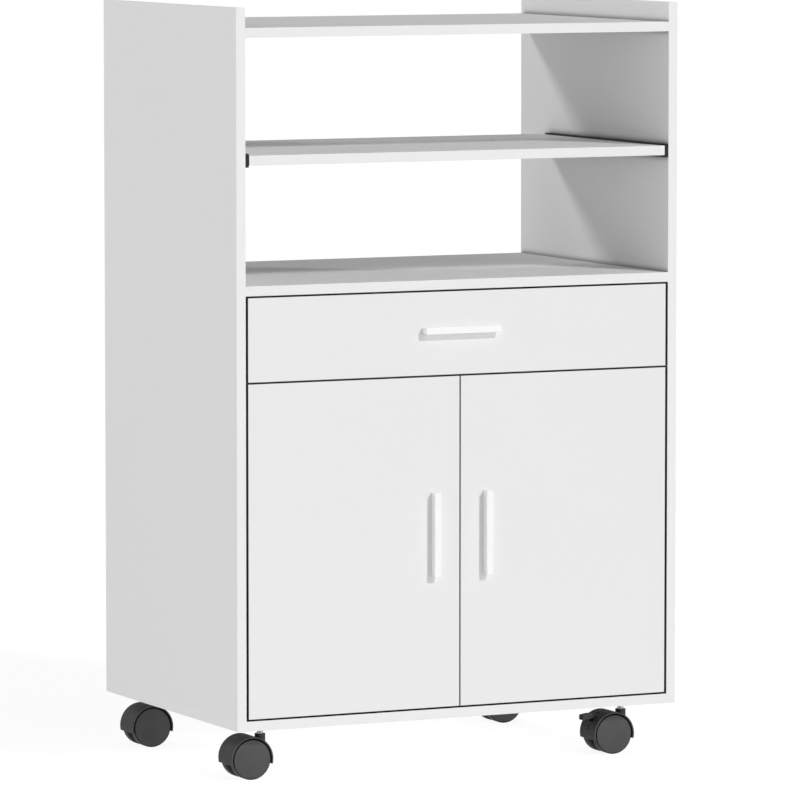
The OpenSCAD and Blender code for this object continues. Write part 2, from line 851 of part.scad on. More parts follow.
module left_door_hinge_cups() {
    mirror([1, 0, 0]) right_cups();
}

// Swan-neck arm: knuckle on the pin, out past the door's edge, back round the
// door's corner as it swings, then rearward over the plate
elbow_out = 3.2;
turn_gap = 0.8;
arm_lift = 1.8;
elbow_s = pin_s + board_t / 2 + elbow_out;
turn_y = pin_y + corner_r + turn_gap + arm_t / 2;
arm_s = plate_t + arm_lift + arm_t / 2;
clamp_d = 7;
clamp_h = 1.6;
arm_end_y = front_y + plate_front + plate_l;

// Flat strip between two points, with round ends
module strip(a, b) {
    d = b - a;
    translate(a) rotate(atan2(d[1], d[0])) translate([0, -arm_t / 2]) square([norm(d), arm_t]);
    for (p = [a, b]) translate(p) circle(d = arm_t);
}
module hinge_arm() {
    slot_w = 1.2;
    slot_l = 5;
    pin = [pin_s, pin_y];
    elbow = [elbow_s, pin_y];
    turn = [elbow_s, turn_y];
    back = [arm_s, turn_y];
    difference() {
        union() {
            translate([0, 0, -arm_w / 2]) linear_extrude(arm_w) {
                translate(pin) circle(r = knuckle_r);
                strip(pin, elbow);
                strip(elbow, turn);
                strip(turn, back);
                strip(back, [arm_s, arm_end_y]);
            }
            // Post from the plate and the screw that clamps the arm on it
            translate([plate_t, plate_screw_y, 0]) rod_x(clamp_d, arm_s - arm_t / 2 - plate_t);
            translate([arm_s, plate_screw_y, 0]) rod_x(clamp_d, arm_t / 2 + clamp_h);
        }
        translate([pin_s, pin_y, -arm_w]) cylinder(d = pin_d + 2 * play, h = 2 * arm_w);
        translate([arm_s + arm_t / 2 + clamp_h, plate_screw_y, 0]) {
            cube([clamp_h, slot_w, slot_l], center = true);
            cube([clamp_h, slot_l, slot_w], center = true);
        }
    }
}
module hinge_arms() {
    color(steel) both_sides() from_right_side() for (z = hinge_zs) translate([0, 0, z]) hinge_arm();
}
// Mounting plate: a wing above and below for its two screws
module hinge_plate() {
    wing_d = 12;
    rim = 1;
    difference() {
        union() {
            translate([0, front_y + plate_front, -arm_w / 2 - rim])
                cube([plate_t, plate_l, arm_w + 2 * rim]);
            translate([0, plate_screw_y - wing_d / 2, -plate_screw_up])
                cube([plate_t, wing_d, 2 * plate_screw_up]);
            for (k = [-1, 1]) translate([0, plate_screw_y, k * plate_screw_up]) rod_x(wing_d, plate_t);
        }
        for (k = [-1, 1]) translate([-over, plate_screw_y, k * plate_screw_up])
            rod_x(side_screw_d + 2 * play, plate_t + 2 * over);
    }
}
module hinge_plates() {
    color(steel) both_sides() from_right_side() for (z = hinge_zs) translate([0, 0, z]) hinge_plate();
}

// ---------- Casters ----------

hood_in_r = wheel_r + hood_gap;
hood_r = hood_in_r + hood_wall;
hood_over = 0.5;
wheel_play = 0.5;
caster_w = wheel_gap + 2 * wheel_w + 2 * hood_over;
spine_w = wheel_gap - 2 * wheel_play;
stem_depth = 25;
axle_boss_r = 7;
axle_end = 4;
pivot_x = -13;
pivot_z = 17;
pivot_d = 3;
pedal_w = 7.4;
lug_w = 1.5;
lug_r = 3.2;

// Puts a caster's piece, drawn round its axle, under a corner of the cabinet
module at_caster(i, j) {
    translate([stem_xs[i] - trail, stem_ys[j], wheel_r]) children();
}
// Outline drawn across the axle, given a width along the axle
module across(w) {
    rotate([90, 0, 0]) linear_extrude(w, center = true) children();
}
// Sector from the axle, between two angles that are less than half a turn apart
module sector(from, to) {
    polygon([[0, 0], 3 * hood_r * [cos(from), sin(from)], 3 * hood_r * [cos(to), sin(to)]]);
}
// Outline of the hood's shell: an arch over the wheels with round lower ends
module arch() {
    mid_r = hood_in_r + hood_wall / 2;
    drop = asin((hood_skirt - hood_wall / 2) / mid_r);
    difference() {
        circle(r = hood_r);
        circle(r = hood_in_r);
        sector(-drop, -90);
        sector(-90, drop - 180);
    }
    for (k = [-1, 1]) translate(mid_r * [k * cos(drop), -sin(drop)]) circle(d = hood_wall);
}
// Hood: an arched shell over both wheels, the spine between them, and the neck
module hood(brake) {
    boss_r = neck_d / 2;
    spine_front = 4;
    neck_over = 1;
    slit = [2.4, 5.5];
    slit_z = 5;
    slit_front = -10;
    pedal_drop = 1.5;
    pedal_front = 2;
    color(hood_grey) difference() {
        union() {
            across(caster_w) arch();
            across(spine_w) intersection() {
                circle(r = hood_r - hood_wall / 2);
                union() {
                    circle(r = axle_boss_r);
                    translate([-spine_front, -hood_skirt])
                        square([trail + spine_front + boss_r - neck_over, 2 * hood_r]);
                }
            }
            difference() {
                translate([trail, 0, hood_in_r / 2]) cylinder(r = boss_r, h = neck_h - hood_in_r / 2);
                rotate([90, 0, 0]) cylinder(r = hood_in_r, h = 2 * caster_w, center = true);
            }
            if (brake) for (k = [-1, 1]) translate([0, k * (pedal_w / 2 + slack + lug_w / 2), 0])
                across(lug_w) intersection() {
                    circle(r = hood_r - hood_wall / 2);
                    translate([pivot_x, pivot_z]) {
                        circle(r = lug_r);
                        translate([-lug_r, 0]) square([2 * lug_r, hood_r]);
                    }
                }
        }
        translate([trail, 0, neck_h - stem_depth]) cylinder(d = stem_d + 2 * play, h = stem_depth + over);
        rotate([90, 0, 0]) cylinder(d = axle_d + 2 * play, h = 2 * caster_w, center = true);
        if (brake) {
            translate([pivot_x - 2 * hood_r, -pedal_w / 2 - slack, pivot_z - pedal_drop])
                cube([2 * hood_r + pedal_front, pedal_w + 2 * slack, hood_r]);
            translate([-2 * hood_r, -slit[0] / 2, slit_z])
                cube([2 * hood_r + slit_front, slit[0], slit[1]]);
            translate([pivot_x, 0, pivot_z]) rotate([90, 0, 0])
                cylinder(d = pivot_d + 2 * play, h = pedal_w + 4 * lug_w, center = true);
        }
    }
}
module axle() {
    color(steel) rotate([90, 0, 0])
        cylinder(d = axle_d, h = wheel_gap + 2 * (wheel_w - axle_end), center = true);
}
// Wheel, drawn from its inner face outwards: tread, closed and slightly domed
// outer disc, hub and ribs
module wheel() {
    dome_edge = 2.6;
    dome_r = wheel_r - dome_edge;
    dome_h = 1.2;
    dome_steps = 10;
    tread_t = 3.5;
    disc_t = 2.5;
    edge_r = 2;
    hub_r = 5.5;
    ribs = 8;
    rib_t = 1.4;
    rib_in = 2;
    bore_l = wheel_w - axle_end + 2 * slack;
    recess = wheel_w - disc_t;
    function dome_z(k) = wheel_w + dome_h * (1 - pow(1 - k, 2));
    color(wheel_grey) translate([0, wheel_gap / 2, 0]) rotate([-90, 0, 0]) difference() {
        union() {
            rotate_extrude($fn = 96) difference() {
                union() {
                    square([wheel_r - edge_r, wheel_w]);
                    translate([0, edge_r]) square([wheel_r, wheel_w - 2 * edge_r]);
                    for (y = [edge_r, wheel_w - edge_r])
                        translate([wheel_r - edge_r, y]) circle(r = edge_r);
                    polygon(concat(
                        [for (k = [0:dome_steps]) [dome_r * (1 - k / dome_steps), dome_z(k / dome_steps)]],
                        [[0, recess], [dome_r, recess]]
                    ));
                }
                translate([hub_r, -over]) square([wheel_r - tread_t - hub_r, recess + over]);
            }
            for (k = [0:ribs - 1]) rotate(k * 360 / ribs)
                translate([hub_r - over, -rib_t / 2, rib_in])
                    cube([wheel_r - tread_t - hub_r + 2 * over, rib_t, recess - rib_in + over]);
        }
        translate([0, 0, -over]) cylinder(d = axle_d + 2 * play, h = bore_l + over);
    }
}
module near_wheel() {
    mirror([0, 1, 0]) wheel();
}
// Brake pedal: hub on its pin, a finger towards the wheels and a tongue outside the hood
module brake_pedal() {
    tip_r = 3;
    tip_up = 4.2;
    root_up = 5.6;
    root_out = 9;
    root_h = 6;
    collar = 3;
    tongue_w = 10.5;
    shield = [117, 135];
    finger_r = 2;
    finger_l = 8;
    tip = [tip_r - pedal_reach, pivot_z + tip_up];
    root = [pivot_x - root_out, pivot_z + root_up];
    finger = [pivot_x - pivot_d, pivot_z - finger_l];
    color(hood_grey) {
        across(pedal_w) {
            translate([pivot_x, pivot_z]) circle(d = 2 * pivot_d);
            polygon([
                [pivot_x, pivot_z - pivot_d], [pivot_x + finger_r, pivot_z + finger_r],
                root + [0, root_h / 2], root + [-collar, root_h / 2],
                root + [-collar, -root_h / 2], root + [0, -root_h / 2]
            ]);
            // Shield that closes the hood's slot in front of the tongue
            intersection() {
                difference() {
                    circle(r = hood_r - seat_gap);
                    circle(r = hood_in_r + seat_gap);
                }
                sector(shield[0], shield[1]);
            }
            translate(finger) circle(r = finger_r);
            polygon([
                finger + [-finger_r, 0], finger + [finger_r, 0],
                [pivot_x + finger_r, pivot_z - finger_r / 2], [pivot_x - finger_r, pivot_z - finger_r / 2]
            ]);
        }
        // Tongue: it narrows towards its round tip
        intersection() {
            across(tongue_w) {
                translate(tip) circle(r = tip_r);
                polygon([
                    tip + [0, tip_r], tip + [0, -tip_r], root + [-collar / 2, -root_h / 2],
                    root + [-collar / 2, root_h / 2], root + [-2 * collar, root_h / 2]
                ]);
            }
            union() {
                translate([tip[0] + tongue_w / 3, 0, 0]) cylinder(r = tongue_w / 2, h = 2 * hood_r);
                translate([tip[0] + tongue_w / 3, -tongue_w / 2, 0]) cube([hood_r, tongue_w, 2 * hood_r]);
            }
        }
        translate([pivot_x, 0, pivot_z]) rotate([90, 0, 0])
            cylinder(d = pivot_d, h = pedal_w + 2 * (lug_w + slack / 2), center = true);
    }
}

// Nut pressed into the bottom panel from above: flange on the floor of the cupboard
module caster_nuts() {
    barrel_up = 0.5;
    color(steel) for (x = stem_xs, y = stem_ys) translate([x, y, base_z]) difference() {
        union() {
            translate([0, 0, barrel_up]) cylinder(d = nut_barrel_d, h = board_t - barrel_up);
            translate([0, 0, board_t]) cylinder(d = nut_flange_d, h = nut_flange_t);
        }
        cylinder(d = stem_d + 2 * play, h = board_t + nut_flange_t + over);
    }
}
// Stem: threaded top in the nut, bare stretch, plain pin in the hood, with a ring groove
module caster_stems() {
    bottom = neck_h - stem_depth + slack;
    ring_up = 4;
    ring_h = 1.4;
    ring_depth = 0.6;
    color(steel) for (i = [0, 1], j = [0, 1]) at_caster(i, j) translate([trail, 0, 0]) difference() {
        translate([0, 0, bottom]) cylinder(d = stem_d, h = axle_drop + board_t - bottom);
        translate([0, 0, bottom + ring_up]) difference() {
            cylinder(d = stem_d + over, h = ring_h);
            translate([0, 0, -over]) cylinder(d = stem_d - 2 * ring_depth, h = ring_h + 2 * over);
        }
    }
}

left_side_panel();
right_side_panel();
bottom_panel();
top_shelf();
worktop();
divider_panel();
back_panel();
inner_shelf();
shelf_pins();
left_shelf_rail();
right_shelf_rail();
panel_screws();
base_screws();
cam_locks();
cam_bolts();
back_panel_nails();
left_cabinet_runner();
right_cabinet_runner();
cabinet_runner_rollers();
hinge_arms();
hinge_plates();
caster_nuts();
caster_stems();
sliding_shelf();
drawer_front();
drawer_left_side();
drawer_right_side();
drawer_back();
drawer_bottom();
drawer_handle();
drawer_handle_screws();
left_drawer_runner();
right_drawer_runner();
drawer_runner_rollers();
left_door();
left_door_handle();
left_door_screws();
left_door_hinge_cups();
right_door();
right_door_handle();
right_door_screws();
right_door_hinge_cups();
at_caster(0, 0) hood(false);  // front_left_hood
at_caster(0, 0) axle();  // front_left_axle
at_caster(0, 0) near_wheel();  // front_left_near_wheel
at_caster(0, 0) wheel();  // front_left_far_wheel
at_caster(1, 0) hood(true);  // front_right_hood
at_caster(1, 0) axle();  // front_right_axle
at_caster(1, 0) near_wheel();  // front_right_near_wheel
at_caster(1, 0) wheel();  // front_right_far_wheel
at_caster(1, 0) brake_pedal();  // front_right_brake_pedal
at_caster(0, 1) hood(false);  // rear_left_hood
at_caster(0, 1) axle();  // rear_left_axle
at_caster(0, 1) near_wheel();  // rear_left_near_wheel
at_caster(0, 1) wheel();  // rear_left_far_wheel
at_caster(1, 1) hood(true);  // rear_right_hood
at_caster(1, 1) axle();  // rear_right_axle
at_caster(1, 1) near_wheel();  // rear_right_near_wheel
at_caster(1, 1) wheel();  // rear_right_far_wheel
at_caster(1, 1) brake_pedal();  // rear_right_brake_pedal
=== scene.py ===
import math

import bpy
from mathutils import Euler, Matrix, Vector

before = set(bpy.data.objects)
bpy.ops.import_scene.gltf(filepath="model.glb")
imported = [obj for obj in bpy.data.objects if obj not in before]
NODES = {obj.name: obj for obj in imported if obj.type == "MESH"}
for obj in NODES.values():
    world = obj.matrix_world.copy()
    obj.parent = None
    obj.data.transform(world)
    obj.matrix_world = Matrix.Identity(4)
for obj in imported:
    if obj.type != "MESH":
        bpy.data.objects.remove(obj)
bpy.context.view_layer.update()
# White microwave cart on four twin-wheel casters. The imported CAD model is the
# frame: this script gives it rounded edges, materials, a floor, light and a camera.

MM = 0.001

for name in ("Cube", "Light", "Camera"):
    spare = bpy.data.objects.get(name)
    if spare is not None:
        bpy.data.objects.remove(spare)

# ---------- Colours, as linear values ----------
BOARD_WHITE = (0.850, 0.850, 0.848)
EDGE_WHITE = (0.872, 0.872, 0.870)
PAINT_WHITE = (0.80, 0.80, 0.79)
HANDLE_WHITE = (0.960, 0.960, 0.960)
RAW_HARDBOARD = (0.30, 0.19, 0.105)
RAIL_BLACK = (0.012, 0.012, 0.0125)
HOOD_GREY = (0.080, 0.080, 0.081)
# Painted shade: the hood's curved shell is much darker than its faces, standing in for the shade
# under the cart.
HOOD_SHELL_SHADE_GREY = (0.028, 0.028, 0.0284)
WHEEL_GREY = (0.080, 0.080, 0.081)
# Painted shade: the tread is nearly black, standing in for the shade in the slot between wheel
# and hood.
TREAD_SHADE_GREY = (0.014, 0.014, 0.0142)
NYLON = (0.74, 0.73, 0.69)
ZINC = (0.56, 0.57, 0.58)
CHROME = (0.76, 0.77, 0.78)

# How far, in metres, a nearby surface casts painted shade into a gap or a corner
BOARD_SHADE_REACH = 0.009
CASTER_SHADE_REACH = 0.005
SHADE_SAMPLES = 6
# Openness at which the painted shade in a crevice is fully dark, and at which it ends
SHADE_DARK_OPENNESS = 0.28
SHADE_END_OPENNESS = 0.86
# Share of the colour that is left in the depth of a crevice, under the painted shade
EDGE_SHADE_DARKEST = 0.03
FACE_SHADE_DARKEST = 0.05

# Specular level of the boards. Level boards have none: at a low angle the white
# surroundings would make their tops too bright.
GLOSS_UPRIGHT = 0.15
GLOSS_LEVEL = 0.0
GLOSS_RAIL = 0.20
GLOSS_CASTER = 0.12

# Height of each surface's relief, in metres
PEARL_RELIEF = 0.00006
SCREEN_RELIEF = 0.0001
POWDER_RELIEF = 0.00005
DRAW_LINE_RELIEF = 0.00004
SCRATCH_RELIEF = 0.00003
THREAD_RELIEF = 0.0003
NYLON_RELIEF = 0.00004
HOOD_RELIEF = 0.00009
WHEEL_RELIEF = 0.00005

THREAD_PITCH = 1.25 * MM
# The wave texture has this many radians in a unit at scale 1
WAVE_RADIANS = 20.0

# Sockets of Blender's colour mix node
MIX_A = 6
MIX_B = 7
MIX_RESULT = 2


# ---------- Node helpers ----------
class Paint:
    """A material under construction, with short calls for the nodes it needs."""

    def __init__(self, name, colour, roughness, **sockets):
        self.mat = bpy.data.materials.new(name)
        self.mat.use_nodes = True
        self.mat.diffuse_color = (*colour, 1.0)
        self.tree = self.mat.node_tree
        self.shader = self.tree.nodes["Principled BSDF"]
        self.shader.inputs["Base Color"].default_value = (*colour, 1.0)
        self.shader.inputs["Roughness"].default_value = roughness
        for socket, value in sockets.items():
            self.shader.inputs[socket.replace("_", " ")].default_value = value
        self.coords = self.node("ShaderNodeTexCoord")

    def node(self, kind, **settings):
        n = self.tree.nodes.new(kind)
        for key, value in settings.items():
            setattr(n, key, value)
        return n

    def link(self, a, b):
        self.tree.links.new(a, b)

    def stretched(self, scale):
        """Object coordinates with a scale for each axis."""
        m = self.node("ShaderNodeMapping")
        m.inputs["Scale"].default_value = scale
        self.link(self.coords.outputs["Object"], m.inputs["Vector"])
        return m.outputs["Vector"]

    def noise(self, scale, detail=2.0, rough=0.5, vector=None):
        """Noise of that many cells in a metre."""
        n = self.node("ShaderNodeTexNoise")
        n.inputs["Scale"].default_value = scale
        n.inputs["Detail"].default_value = detail
        n.inputs["Roughness"].default_value = rough
        self.link(vector or self.coords.outputs["Object"], n.inputs["Vector"])
        return n.outputs["Fac"]

    def spread(self, value, low, high, start=0.0, end=1.0):
        """Value from start to end, laid out from low to high."""
        m = self.node("ShaderNodeMapRange")
        m.inputs["From Min"].default_value = start
        m.inputs["From Max"].default_value = end
        m.inputs["To Min"].default_value = low
        m.inputs["To Max"].default_value = high
        self.link(value, m.inputs["Value"])
        return m.outputs["Result"]

    def math(self, kind, a, b=None):
        m = self.node("ShaderNodeMath", operation=kind)
        for socket, value in zip(m.inputs, (a, b)):
            if value is None:
                continue
            if isinstance(value, (int, float)):
                socket.default_value = value
            else:
                self.link(value, socket)
        return m.outputs["Value"]

    def mix(self, fac, a, b):
        """Colour between a and b; each is a colour or a socket."""
        m = self.node("ShaderNodeMix", data_type="RGBA")
        self.link(fac, m.inputs["Factor"])
        for socket, value in ((m.inputs[MIX_A], a), (m.inputs[MIX_B], b)):
            if isinstance(value, tuple):
                socket.default_value = (*value, 1.0)
            else:
                self.link(value, socket)
        return m.outputs[MIX_RESULT]

    def times(self, a, b):
        """Product of two colours."""
        m = self.node("ShaderNodeMix", data_type="RGBA", blend_type="MULTIPLY")
        m.inputs["Factor"].default_value = 1.0
        self.link(a, m.inputs[MIX_A])
        self.link(b, m.inputs[MIX_B])
        return m.outputs[MIX_RESULT]

    def axis(self, letter):
        """How much the surface faces along one axis of the object, 0 to 1."""
        return self.math("ABSOLUTE", self.facing(letter))

    def facing(self, letter):
        """The same with its sign, -1 to 1."""
        s = self.node("ShaderNodeSeparateXYZ")
        self.link(self.coords.outputs["Normal"], s.inputs["Vector"])
        return s.outputs[letter]

    def in_the_open(self, reach):
        """1 on open faces, less in gaps and corners; reach is in metres."""
        n = self.node("ShaderNodeAmbientOcclusion", samples=SHADE_SAMPLES)
        n.inputs["Distance"].default_value = reach
        return n.outputs["AO"]

    def painted_crevice_shade(self, socket, reach, darkest):
        """Painted shade: colour that fades towards dark in gaps and corners, where shade falls.
        """
        openness = self.in_the_open(reach)
        return self.times(socket, self.spread(openness, darkest, 1.0, SHADE_DARK_OPENNESS, SHADE_END_OPENNESS))

    def colour(self, socket):
        self.link(socket, self.shader.inputs["Base Color"])

    def roughness(self, socket):
        self.link(socket, self.shader.inputs["Roughness"])

    def bump(self, height, depth, strength):
        """Surface relief; depth is its height in metres."""
        b = self.node("ShaderNodeBump")
        b.inputs["Strength"].default_value = strength
        b.inputs["Distance"].default_value = depth
        self.link(height, b.inputs["Height"])
        self.link(b.outputs["Normal"], self.shader.inputs["Normal"])


def shade(colour, factor):
    return tuple(c * factor for c in colour)


# ---------- Materials ----------
def melamine(name, face_axis, gloss):
    """White melamine board: pearl-textured faces, smoother banded edges, painted shade in gaps
    and corners.
    """
    p = Paint(name, BOARD_WHITE, 0.55, Specular_IOR_Level=gloss)
    on_face = p.spread(p.axis(face_axis), 0.0, 1.0, 0.35, 0.75)
    cloud = p.noise(3.2, detail=3.0)
    face = p.mix(cloud, shade(BOARD_WHITE, 0.992), shade(BOARD_WHITE, 1.006))
    speck = p.noise(1500.0, detail=1.0)
    face = p.mix(p.spread(speck, 0.0, 0.05, 0.58, 0.78), face, shade(BOARD_WHITE, 0.90))
    edge = p.mix(p.noise(12.0), shade(EDGE_WHITE, 0.995), shade(EDGE_WHITE, 1.005))
    # Painted shade darkens gaps and corners: on fronts only the edges, on other boards the whole
    # colour.
    if face_axis == "Y":
        p.colour(p.mix(on_face, p.painted_crevice_shade(edge, BOARD_SHADE_REACH, EDGE_SHADE_DARKEST), face))
    else:
        p.colour(p.painted_crevice_shade(p.mix(on_face, edge, face), BOARD_SHADE_REACH, FACE_SHADE_DARKEST))
    smear = p.noise(9.0, detail=4.0)
    p.roughness(p.math("ADD", p.spread(smear, 0.50, 0.60), p.math("MULTIPLY", on_face, 0.03)))
    pearl = p.math("ADD", p.noise(1150.0, detail=2.0), p.math("MULTIPLY", p.noise(430.0), 0.6))
    p.bump(p.math("MULTIPLY", pearl, on_face), PEARL_RELIEF, 0.5)
    return p.mat


def hardboard(name, painted_axis):
    """Thin hardboard: white paint on one face, raw fibre on the other.

    The back is raw towards +Y, the drawer's bottom is raw underneath.
    """
    p = Paint(name, PAINT_WHITE, 0.5)
    out = p.facing(painted_axis)
    if painted_axis == "Y":
        raw = p.spread(out, 0.0, 1.0, 0.25, 0.55)
    else:
        raw = p.spread(out, 1.0, 0.0, -0.55, -0.25)
    fibre = p.noise(900.0, detail=5.0, rough=0.7)
    fibre = p.mix(fibre, shade(RAW_HARDBOARD, 0.62), shade(RAW_HARDBOARD, 1.35))
    blotch = p.noise(14.0, detail=4.0)
    fibre = p.mix(p.spread(blotch, 0.0, 0.5), fibre, shade(RAW_HARDBOARD, 0.8))
    paint = p.mix(p.noise(6.0, detail=3.0), shade(PAINT_WHITE, 0.985), shade(PAINT_WHITE, 1.01))
    p.colour(p.mix(raw, paint, fibre))
    p.roughness(p.spread(raw, 0.48, 0.78))
    p.bump(p.noise(1400.0, detail=3.0), SCREEN_RELIEF, 0.6)
    return p.mat


def powder_coat(name, colour, roughness):
    """Painted metal: an even coat with a fine orange-peel relief."""
    p = Paint(name, colour, roughness, Specular_IOR_Level=0.5)
    p.colour(p.mix(p.noise(40.0, detail=3.0), shade(colour, 0.99), shade(colour, 1.01)))
    p.roughness(p.spread(p.noise(260.0, detail=3.0), roughness - 0.04, roughness + 0.06))
    p.bump(p.noise(1700.0, detail=2.0), POWDER_RELIEF, 0.5)
    return p.mat


def extruded_plastic(name):
    """Black channel: faint draw lines along its length."""
    p = Paint(name, RAIL_BLACK, 0.50, Specular_IOR_Level=GLOSS_RAIL)
    lines = p.noise(1.0, detail=3.0, vector=p.stretched((900.0, 1.5, 900.0)))
    p.colour(p.mix(lines, shade(RAIL_BLACK, 0.8), shade(RAIL_BLACK, 1.35)))
    p.roughness(p.spread(lines, 0.42, 0.60))
    p.bump(lines, DRAW_LINE_RELIEF, 0.5)
    return p.mat


def moulded_nylon(name, colour, shaded_rim_colour, roughness, grain, relief):
    """Dark moulded plastic with a spark-eroded grain and a little flow mottling.

    The faces across the axle have one colour; the tread and the curved outside get a darker
    colour as painted shade.
    """
    p = Paint(name, colour, roughness, Specular_IOR_Level=GLOSS_CASTER)
    flow = p.noise(55.0, detail=4.0)
    # Painted shade: faces not square to the axle, including the rounded edge of the wheel's disc,
    # take the darker colour.
    tone = p.mix(p.spread(p.axis("Y"), 0.0, 1.0, 0.80, 0.93), shaded_rim_colour, colour)
    dark = p.mix(flow, (0.86, 0.86, 0.86), (1.16, 1.16, 1.16))
    # Painted shade darkens the caster's gaps and corners.
    p.colour(p.painted_crevice_shade(p.times(tone, dark), CASTER_SHADE_REACH, FACE_SHADE_DARKEST))
    p.roughness(p.spread(p.noise(160.0, detail=3.0), roughness - 0.06, roughness + 0.08))
    p.bump(p.noise(grain, detail=3.0, rough=0.6), relief, 0.6)
    return p.mat


def zinc_steel(name):
    """Zinc-plated steel: bright, with soft cloudy spangle and fine scratches."""
    p = Paint(name, ZINC, 0.32, Metallic=1.0)
    cloud = p.noise(220.0, detail=4.0, rough=0.6)
    p.colour(p.mix(cloud, shade(ZINC, 0.82), shade(ZINC, 1.18)))
    p.roughness(p.spread(cloud, 0.24, 0.44))
    scratches = p.noise(1.0, detail=2.0, vector=p.stretched((500.0, 500.0, 4000.0)))
    p.bump(scratches, SCRATCH_RELIEF, 0.4)
    return p.mat


def threaded_chrome(name):
    """Bright stem: ridges of a 1.25 mm thread as relief."""
    p = Paint(name, CHROME, 0.14, Metallic=1.0)
    p.colour(p.mix(p.noise(300.0, detail=3.0), shade(CHROME, 0.92), shade(CHROME, 1.06)))
    w = p.node("ShaderNodeTexWave", wave_type="BANDS", bands_direction="Z")
    w.inputs["Scale"].default_value = 1.0 / THREAD_PITCH * (2.0 * math.pi) / WAVE_RADIANS
    w.inputs["Distortion"].default_value = 0.0
    p.link(p.coords.outputs["Object"], w.inputs["Vector"])
    p.roughness(p.spread(w.outputs["Fac"], 0.10, 0.20))
    p.bump(w.outputs["Fac"], THREAD_RELIEF, 0.7)
    return p.mat


def white_nylon(name):
    """Milky nylon of the runner rollers."""
    p = Paint(name, NYLON, 0.38, Subsurface_Weight=0.12, Subsurface_Scale=0.002)
    p.colour(p.mix(p.noise(120.0, detail=3.0), shade(NYLON, 0.95), shade(NYLON, 1.03)))
    p.roughness(p.spread(p.noise(300.0), 0.32, 0.46))
    p.bump(p.noise(900.0), NYLON_RELIEF, 0.4)
    return p.mat


def make_materials():
    return {
        "board_x": melamine("melamine_upright", "X", GLOSS_UPRIGHT),
        "board_y": melamine("melamine_front", "Y", GLOSS_UPRIGHT),
        "board_z": melamine("melamine_level", "Z", GLOSS_LEVEL),
        "back": hardboard("hardboard_back", "Y"),
        "tray": hardboard("hardboard_bottom", "Z"),
        "handle": powder_coat("powder_coat_white", HANDLE_WHITE, 0.34),
        "runner": powder_coat("powder_coat_runner", PAINT_WHITE, 0.38),
        "rail": extruded_plastic("black_channel_plastic"),
        "hood": moulded_nylon("hood_nylon", HOOD_GREY, HOOD_SHELL_SHADE_GREY, 0.48, 1500.0, HOOD_RELIEF),
        "wheel": moulded_nylon(
            "wheel_plastic", WHEEL_GREY, TREAD_SHADE_GREY, 0.46, 2200.0, WHEEL_RELIEF),
        "zinc": zinc_steel("zinc_steel"),
        "chrome": threaded_chrome("stem_chrome"),
        "nylon": white_nylon("roller_nylon"),
    }


BOARDS_X = ("left_side_panel", "right_side_panel", "drawer_left_side", "drawer_right_side")
BOARDS_Y = ("drawer_front", "drawer_back", "left_door", "right_door")
BOARDS_Z = (
    "bottom_panel", "top_shelf", "worktop", "divider_panel", "inner_shelf", "sliding_shelf",
)


def material_of(node, mats):
    if node in BOARDS_X:
        return mats["board_x"]
    if node in BOARDS_Y:
        return mats["board_y"]
    if node in BOARDS_Z:
        return mats["board_z"]
    if node == "back_panel":
        return mats["back"]
    if node == "drawer_bottom":
        return mats["tray"]
    if node == "caster_stems":
        return mats["chrome"]
    for ending, key in (
        ("_handle", "handle"), ("_runner", "runner"), ("_shelf_rail", "rail"), ("_hood", "hood"),
        ("_brake_pedal", "hood"), ("_wheel", "wheel"), ("_rollers", "nylon"),
    ):
        if node.endswith(ending):
            return mats[key]
    return mats["zinc"]


# ---------- Edges ----------
EDGE_RADIUS = 0.35 * MM
EDGE_SEGMENTS = 3
WELD_REACH = 0.002 * MM
# Faces that meet at less than the first angle are joined, edges over the second are rounded
FLAT_ANGLE = math.radians(0.4)
SHARP_ANGLE = math.radians(40.0)


def soften(obj):
    """Joined faces, a small rounded edge and even shading."""
    weld = obj.modifiers.new("weld", "WELD")
    weld.merge_threshold = WELD_REACH
    flat = obj.modifiers.new("flat", "DECIMATE")
    flat.decimate_type = "DISSOLVE"
    flat.angle_limit = FLAT_ANGLE
    bevel = obj.modifiers.new("bevel", "BEVEL")
    bevel.width = EDGE_RADIUS
    bevel.segments = EDGE_SEGMENTS
    bevel.limit_method = "ANGLE"
    bevel.angle_limit = SHARP_ANGLE
    bevel.use_clamp_overlap = True
    normals = obj.modifiers.new("normals", "WEIGHTED_NORMAL")
    normals.weight = 100
    normals.keep_sharp = False


def dress_cad(mats):
    for name, obj in NODES.items():
        obj.data.materials.clear()
        obj.data.materials.append(material_of(name, mats))
    for name in BOARDS_X + BOARDS_Y + BOARDS_Z:
        soften(NODES[name])


# ---------- Floor, light and camera ----------
PLAIN_WHITE = (1.0, 1.0, 1.0, 1.0)
FLOOR_SIZE = 400.0
# What is seen directly: the floor's colour, and the share of plain white glow in it
FLOOR_ALBEDO = 0.94
FLOOR_GLOW = 1.0
FLOOR_GLOW_SHARE = 0.80
# Light from below: what the floor gives off, and what it bounces onto the object
FLOOR_LIGHT = 0.51
FLOOR_BOUNCE = 0.25


def seen_directly(tree):
    """1 for camera, glossy and transmission rays, 0 for light that falls on the object."""
    path = tree.nodes.new("ShaderNodeLightPath")
    total = tree.nodes.new("ShaderNodeMath")
    total.operation = "ADD"
    total.use_clamp = True
    tree.links.new(path.outputs["Is Camera Ray"], total.inputs[0])
    tree.links.new(path.outputs["Is Glossy Ray"], total.inputs[1])
    both = tree.nodes.new("ShaderNodeMath")
    both.operation = "ADD"
    both.use_clamp = True
    tree.links.new(total.outputs[0], both.inputs[0])
    tree.links.new(path.outputs["Is Transmission Ray"], both.inputs[1])
    return both.outputs[0]


